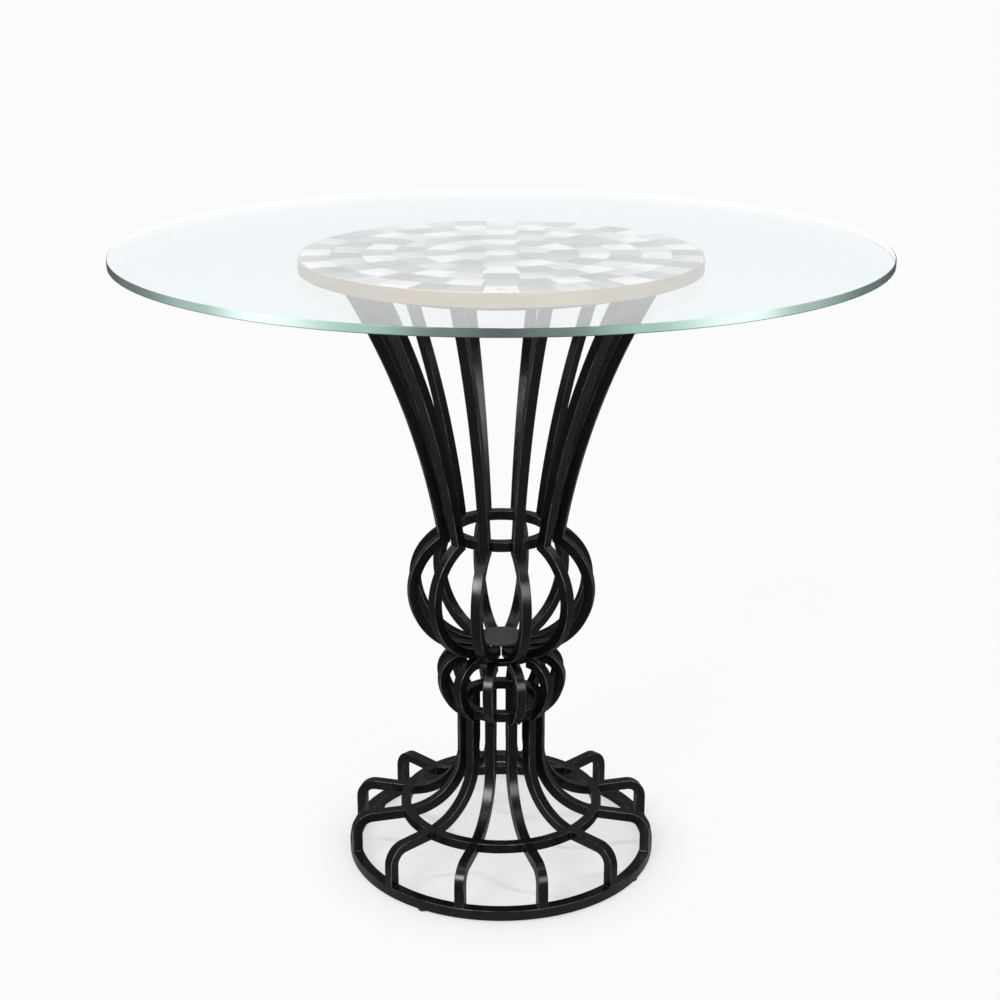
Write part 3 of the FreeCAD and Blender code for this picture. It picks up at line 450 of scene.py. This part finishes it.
def add_piece(name, mesh, materials):
    """A new mesh object in the scene, with its materials."""
    data = bpy.data.meshes.new(name)
    mesh.to_mesh(data)
    mesh.free()
    for material in materials:
        data.materials.append(material)
    return add_object(name, data)


def round_angles(count, first=0.0):
    """Even directions all round."""
    return [first + 2 * math.pi * step / count for step in range(count)]


def circle(radius, count):
    """Corners of a round outline, anticlockwise."""
    return [Vector((radius * math.cos(a), radius * math.sin(a))) for a in round_angles(count)]


def ring_tiles():
    """Rings of tiles: inner radius, outer radius, first direction, turn of one tile, count."""
    width = (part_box("inlay_top")[1].x - TILE_MIDDLE_RADIUS) / TILE_RINGS
    rings = []
    for number in range(TILE_RINGS):
        inner = TILE_MIDDLE_RADIUS + number * width
        count = max(TILE_LEAST, round(2 * math.pi * (inner + width / 2) / TILE_LENGTH))
        turn = 2 * math.pi / count
        rings.append((inner, inner + width, number * turn / 2, turn, count))
    return rings


def tile_tones(rings, chance):
    """For each ring, a tone for each tile that no tile beside it or inside it has."""
    laid = []
    for place, (_, _, first, turn, count) in enumerate(rings):
        tones = []
        for number in range(count):
            taken = set(tones[-1:])
            if number == count - 1:
                taken.add(tones[0])
            if place:
                _, _, inner_first, inner_turn, inner_count = rings[place - 1]
                start = (first + number * turn - inner_first) / inner_turn
                end = start + turn / inner_turn
                reach = range(math.floor(start + TILE_SLIVER), math.ceil(end - TILE_SLIVER))
                taken.update(laid[-1][step % inner_count] for step in reach)
            free = [tone for tone in range(len(TILE_TONES)) if tone not in taken]
            free = free or [tone for tone in range(len(TILE_TONES)) if tone != tones[-1]]
            tones.append(chance.choices(free, [TILE_WEIGHTS[tone] for tone in free])[0])
        laid.append(tones)
    return laid


def add_walls(mesh, low, high):
    """Faces all round between two loops of corners."""
    after = [*range(1, len(low)), 0]
    return [mesh.faces.new((low[i], low[j], high[j], high[i])) for i, j in enumerate(after)]


def add_tile(mesh, uv, outline, top, bottom, tone, place_of):
    """One tile: a sunk wall, a softened edge and a flat face, over an anticlockwise outline."""
    inset = []
    for index, corner in enumerate(outline):
        before, after = outline[index - 1], outline[(index + 1) % len(outline)]
        along = (after - before).normalized()
        inset.append(corner + Vector((-along.y, along.x)) * TILE_EDGE)
    levels = [
        [mesh.verts.new((p.x, p.y, height)) for p in corners]
        for corners, height in ((outline, bottom), (outline, top - TILE_EDGE), (inset, top))
    ]
    faces = [face for low, high in zip(levels, levels[1:]) for face in add_walls(mesh, low, high)]
    faces.append(mesh.faces.new(levels[-1]))
    for face in faces:
        face.material_index = tone
        for loop in face.loops:
            loop[uv].uv = place_of(loop.vert.co.x, loop.vert.co.y)


def wedge(inner, outer, start, turn):
    """Corners of a wedge tile, anticlockwise, with its curved sides in short steps."""
    inner, outer = inner + TILE_JOINT / 2, outer - TILE_JOINT / 2
    corners = []
    for radius, forward in ((outer, True), (inner, False)):
        trim = TILE_JOINT / 2 / radius
        first, last = start + trim, start + turn - trim
        steps = max(2, round((last - first) * radius / TILE_ARC_STEP))
        angles = [first + (last - first) * step / steps for step in range(steps + 1)]
        for angle in angles if forward else reversed(angles):
            corners.append(Vector((radius * math.cos(angle), radius * math.sin(angle))))
    return corners


def wedge_places(inner, outer, start, turn, shift):
    """Maps a point on a wedge tile to its place along and across it, moved by a whole shift."""

    def place_of(x, y):
        angle = (math.atan2(y, x) - start) % (2 * math.pi)
        if angle > math.pi + turn:
            angle -= 2 * math.pi
        return angle / turn + shift, (math.hypot(x, y) - inner) / (outer - inner) + shift

    return place_of


def inlay():
    """The inlaid face: a thin bed with separate tiles on it."""
    low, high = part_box("inlay_top")
    chance = random.Random(TILE_SEED)
    mesh = bmesh.new()
    uv = mesh.loops.layers.uv.new("tile")
    bed_top = high.z - TILE_BED_DEPTH
    rim = circle(high.x, TILE_BED_SIDES)
    base = [mesh.verts.new((p.x, p.y, low.z)) for p in rim]
    lid = [mesh.verts.new((p.x, p.y, bed_top)) for p in rim]
    bed = add_walls(mesh, base, lid) + [mesh.faces.new(lid), mesh.faces.new(list(reversed(base)))]
    for face in bed:
        face.material_index = len(TILE_TONES)
    middle = circle(TILE_MIDDLE_RADIUS - TILE_JOINT / 2, TILE_MIDDLE_SIDES)
    add_tile(mesh, uv, middle, high.z, bed_top, 0, lambda x, y: (x / TILE_LENGTH, y / TILE_LENGTH))
    rings = ring_tiles()
    for (inner, outer, first, turn, _), tones in zip(rings, tile_tones(rings, chance)):
        for number, tone in enumerate(tones):
            start = first + number * turn
            place_of = wedge_places(inner, outer, start, turn, chance.randrange(TILE_SHIFTS))
            add_tile(mesh, uv, wedge(inner, outer, start, turn), high.z, bed_top, tone, place_of)
    mesh.normal_update()
    finishes = [tile_finish(name, tone) for name, tone in TILE_TONES]
    piece = add_piece("inlay_tiles", mesh, [*finishes, grout()])
    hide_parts("inlay_top")
    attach(piece, "base")


def add_weld(mesh, start, end, first, second, leg):
    """One weld: a hollow fillet from start to end, in the corner between two directions."""
    rows = []
    for place in (start, end):
        corner = place - (first + second) * WELD_SINK
        middle = corner + (first + second) * leg
        turns = [math.pi / 2 * step / WELD_STEPS for step in range(WELD_STEPS + 1)]
        curve = [middle - (first * math.sin(t) + second * math.cos(t)) * leg for t in turns]
        rows.append([mesh.verts.new(p) for p in [corner] + curve])
    near, far = rows
    for index in range(len(near)):
        before = index - 1
        mesh.faces.new((near[before], near[index], far[index], far[before]))
    for row in rows:
        for index in range(1, len(row) - 1):
            mesh.faces.new((row[0], row[index], row[index + 1]))


def bar_sides(first_angle):
    """For both sides of each bar in a tier: the way out from the axis, and the way off that side."""
    for angle in round_angles(BAR_COUNT, first_angle):
        away = Vector((math.cos(angle), math.sin(angle), 0))
        side = Vector((-math.sin(angle), math.cos(angle), 0))
        yield away, side
        yield away, -side


def upright_welds(mesh, chance, ring, outward, first_angle):
    """Welds between a ring's round face and the sides of the bars that end there."""
    low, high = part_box(ring)
    reach = high.x if outward > 0 else high.x - 2 * BAR_HALF
    for away, side in bar_sides(first_angle):
        leg = WELD_LEG * chance.uniform(*WELD_SPREAD)
        across = math.sqrt(reach**2 - BAR_HALF**2)
        beyond = math.sqrt(reach**2 - (BAR_HALF + leg) ** 2)
        place = away * across + side * BAR_HALF
        bottom, top = Vector((0, 0, low.z + BAR_EDGE)), Vector((0, 0, high.z - BAR_EDGE))
        along = (away * (beyond - across) + side * leg).normalized()
        add_weld(mesh, place + bottom, place + top, away * outward, along, leg)


def level_welds(mesh, chance, ring, upward):
    """Welds between a ring's level face and the sides of the bars on or under it."""
    low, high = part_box(ring)
    height = high.z if upward > 0 else low.z
    inner, outer = high.x - WELD_INNER * BAR_HALF, high.x - WELD_OUTER * BAR_HALF
    for away, side in bar_sides(BAR_FIRST):
        leg = WELD_LEG * chance.uniform(*WELD_SPREAD)
        place = side * BAR_HALF + Vector((0, 0, height))
        add_weld(mesh, place + away * inner, place + away * outer, Vector((0, 0, upward)), side, leg)


def welds():
    """The weld metal at the pedestal's joints."""
    chance = random.Random(WELD_SEED)
    mesh = bmesh.new()
    upright_welds(mesh, chance, "foot_ring", 1, BAR_FIRST)
    upright_welds(mesh, chance, "foot_ring", -1, BAR_FIRST)
    upright_welds(mesh, chance, "collar_ring", 1, BAR_FIRST)
    upright_welds(mesh, chance, "column_ring", 1, BULB_FIRST)
    upright_welds(mesh, chance, "waist_ring", 1, BULB_FIRST)
    for ring, upward in (("floor_ring", 1), ("column_ring", -1), ("mounting_ring", -1), ("waist_ring", 1)):
        level_welds(mesh, chance, ring, upward)
    bmesh.ops.recalc_face_normals(mesh, faces=mesh.faces)
    piece = add_piece("weld_beads", mesh, [black_iron("black_iron_weld")])
    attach(piece, "base")


def satin_share(graph, level):
    """One for what is looked at, and the given level for what a satin face mirrors."""
    ray = graph.node("ShaderNodeLightPath").outputs
    soft = ray["Is Glossy Ray"]
    for other in ("Is Singular Ray", "Is Transmission Ray", "Diffuse Depth"):
        soft = graph.maths("SUBTRACT", soft, ray[other], clamp=True)
    return graph.span(soft, 1.0, level)


def painted_shadow_streaks(finish, away):
    """Painted shadow: faint dark streaks inside the floor ring, where a noise crosses its middle, in patches.
    """
    cloud = finish.noise(5, 1.5, 0.35, finish.stretch((1, 1.9, 1)))
    ridge = finish.maths("ABSOLUTE", finish.maths("ADD", cloud, -0.5))
    streak = finish.span(ridge, 1, 0, 0, PAINTED_SHADOW_STREAK_WIDTH)
    patchy = finish.span(finish.noise(9, 2), 0, 1, 0.4, 0.6)
    near = finish.span(away, PAINTED_SHADOW_STREAK_DEPTH, 0, FLOOR_FADE_START - PAINTED_SHADOW_STREAK_FADE, FLOOR_FADE_START)
    return finish.maths("MULTIPLY", finish.maths("MULTIPLY", streak, patchy), near)


def floor():
    """Plain pale floor at one level: what the light leaves open is made up by a glow.

    Its tone takes the shadows under the pedestal, and hardly any farther out. Inside the floor ring its glow
    is dimmed in faint streaks, a painted shadow.
    """
    bpy.ops.mesh.primitive_plane_add(size=FLOOR_SIZE)
    piece = bpy.context.object
    piece.name = "studio_floor"
    finish = Finish("studio_floor")
    away = finish.vector("LENGTH", finish.place, result="Value")
    tone = finish.span(away, FLOOR_TONE_NEAR, FLOOR_TONE_FAR, FLOOR_FADE_START, FLOOR_FADE_END)
    # The glow is dimmed in faint streaks inside the floor ring: a painted shadow.
    glow_with_painted_shadow = finish.span(painted_shadow_streaks(finish, away), FLOOR_LEVEL, 0)
    missing = finish.maths("MULTIPLY_ADD", tone, -FLOOR_LIGHT, glow_with_painted_shadow)
    finish.set(
        Base_Color=tone,
        Roughness=1.0,
        Specular_IOR_Level=0.0,
        Emission_Color=(1, 1, 1, 1),
        Emission_Strength=finish.maths("MULTIPLY", missing, satin_share(finish, SATIN_FLOOR)),
    )
    piece.data.materials.append(finish.material)


def lamp(name, direction, strength, width):
    """A soft lamp far away, so that it lights the whole floor alike."""
    light = bpy.data.lights.new(name, "SUN")
    light.energy = strength
    light.angle = width
    add_object(name, light).rotation_euler = Vector(direction).to_track_quat("Z", "Y").to_euler()


def studio():
    """A pale room, brighter at the walls than overhead, with soft lamps.

    What is looked at straight or through glass has the floor's level, so that no horizon shows.
    """
    scene = bpy.context.scene
    scene.view_settings.view_transform = "Standard"
    scene.world = bpy.data.worlds.new("studio")
    scene.world.use_nodes = True
    room = Graph(scene.world.node_tree)
    sky = room.tree.nodes["Background"]
    sky.inputs["Color"].default_value = (1, 1, 1, 1)
    height = room.part("Z", room.node("ShaderNodeTexCoord").outputs["Generated"])
    level = room.span(
        height, ROOM_LEVEL, ROOF_LEVEL, ROOF_START, ROOF_END, interpolation_type="SMOOTHSTEP"
    )
    strength = room.maths("MULTIPLY", level, satin_share(room, SATIN_ROOM))
    ray = room.node("ShaderNodeLightPath").outputs
    seen = room.maths("ADD", ray["Is Camera Ray"], ray["Is Transmission Ray"], clamp=True)
    room.feed(sky.inputs["Strength"], room.span(seen, strength, FLOOR_LEVEL))
    for row in LAMPS:
        lamp(*row)


def camera():
    """The photograph's view."""
    data = bpy.data.cameras.new("camera")
    data.lens = CAMERA_LENS
    data.sensor_width = CAMERA_SENSOR
    piece = add_object("camera", data)
    piece.location = CAMERA_PLACE
    piece.rotation_euler = (math.pi / 2 - CAMERA_PITCH, 0, 0)
    bpy.context.scene.camera = piece


special = {
    "floor_glides": black_plastic,
    "disc_screws": zinc,
    "disc_core": board,
    "disc_rim": gilt,
    "glass_bumpers": clear_soft_plastic,
    "glass_top": clear_glass,
}
for name, make in special.items():
    dress([name], make())
iron = [n for n in nodes if n not in special and n != "inlay_top"]
iron_rings = [n for n in iron if n.endswith("_ring")]
iron_bars = [n for n in iron if n not in iron_rings + ["hub_plate"]]
dress(iron_rings, black_iron("black_iron_ring", "ring"))
# The hub plate's paler tones are a painted sheen on its top.
dress(["hub_plate"], black_iron("black_iron_plate_painted_sheen", "ring", PLATE_TONES_PAINTED_SHEEN, PLATE_DULL))
dress(iron_bars, black_iron("black_iron_bar", "bar"))
welds()
inlay()
floor()
studio()
camera()
